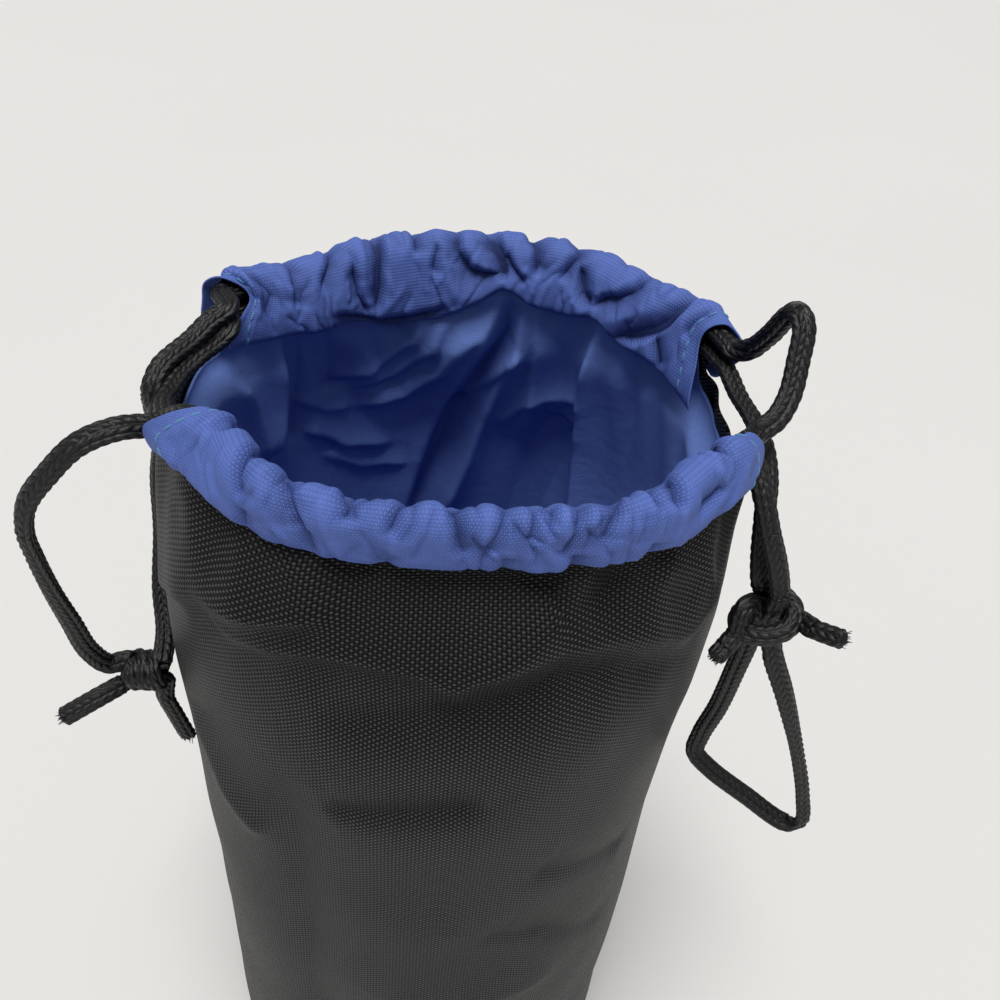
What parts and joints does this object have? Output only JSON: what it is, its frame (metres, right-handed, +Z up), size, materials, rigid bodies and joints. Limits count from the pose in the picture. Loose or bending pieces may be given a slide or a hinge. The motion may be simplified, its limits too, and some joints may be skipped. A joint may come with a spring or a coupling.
{
  "type": "lens pouch",
  "caption": "Round padded drawstring pouch for a camera lens: coarse nylon outside, plain cloth lining, gathered cord casings round the mouth and knotted braided drawcords at both sides.",
  "frame": {"origin": "middle of the underside, on the surface that the pouch stands on", "axes": "+Z up along the pouch, -Y towards the front casing, +X towards the slipped knot with the loop"},
  "size_m": [0.1634, 0.114, 0.2493],
  "materials": {
    "outer_nylon": "coarse basket weave, matt with a slight sheen",
    "lining": "fine plain weave, matt",
    "foam": "closed-cell foam",
    "drawcord": "hollow plaited braid, pressed flat"
  },
  "bodies": {
    "pouch": {"outer_front_panel": "outer_nylon", "outer_rear_panel": "outer_nylon", "outer_base": "outer_nylon", "padding_front": "foam", "padding_rear": "foam", "padding_base": "foam", "lining_front_panel": "lining", "lining_rear_panel": "lining", "lining_base": "lining", "left_cord_bridge": "drawcord", "right_cord_bridge": "drawcord"},
    "front_rim": {"front_casing": "lining", "left_cord_front_run": "drawcord", "right_cord_front_run": "drawcord", "left_cord_front_lead_top": "drawcord", "right_cord_front_lead_top": "drawcord"},
    "rear_rim": {"rear_casing": "lining", "left_cord_rear_run": "drawcord", "right_cord_rear_run": "drawcord", "left_cord_rear_lead_top": "drawcord", "right_cord_rear_lead_top": "drawcord"},
    "left_tie": {"left_cord_knot": "drawcord", "left_cord_front_lead": "drawcord", "left_cord_rear_lead": "drawcord", "left_cord_front_tail": "drawcord", "left_cord_rear_tail": "drawcord"},
    "right_tie": {"right_cord_knot": "drawcord", "right_cord_front_lead": "drawcord", "right_cord_rear_lead": "drawcord", "right_cord_loop": "drawcord", "right_cord_long_tail": "drawcord", "right_cord_short_tail": "drawcord"}
  },
  "joints": [
    {"name": "right_cord_pull", "type": "slide", "parent": "pouch", "child": "right_tie", "axis": [0.8, 0, -0.6], "range_m": [0, 0.022], "deforming": ["right_cord_front_lead", "right_cord_rear_lead"]},
    {"name": "left_cord_pull", "type": "slide", "parent": "pouch", "child": "left_tie", "axis": [-0.8, 0, -0.6], "range_m": [0, 0.022], "deforming": ["left_cord_front_lead", "left_cord_rear_lead"]},
    {"name": "front_casing_draw", "type": "slide", "parent": "pouch", "child": "front_rim", "axis": [0, 1, 0], "range_m": [0, 0.011], "deforming": ["left_cord_front_lead_top", "right_cord_front_lead_top", "left_cord_bridge", "right_cord_bridge"]},
    {"name": "rear_casing_draw", "type": "slide", "parent": "pouch", "child": "rear_rim", "axis": [0, -1, 0], "range_m": [0, 0.011], "deforming": ["left_cord_rear_lead_top", "right_cord_rear_lead_top"]}
  ],
  "couplings": [
    {"joint": "left_cord_pull", "follows": "right_cord_pull", "ratio": 1},
    {"joint": "front_casing_draw", "follows": "right_cord_pull", "ratio": 0.5},
    {"joint": "rear_casing_draw", "follows": "right_cord_pull", "ratio": 0.5}
  ]
}
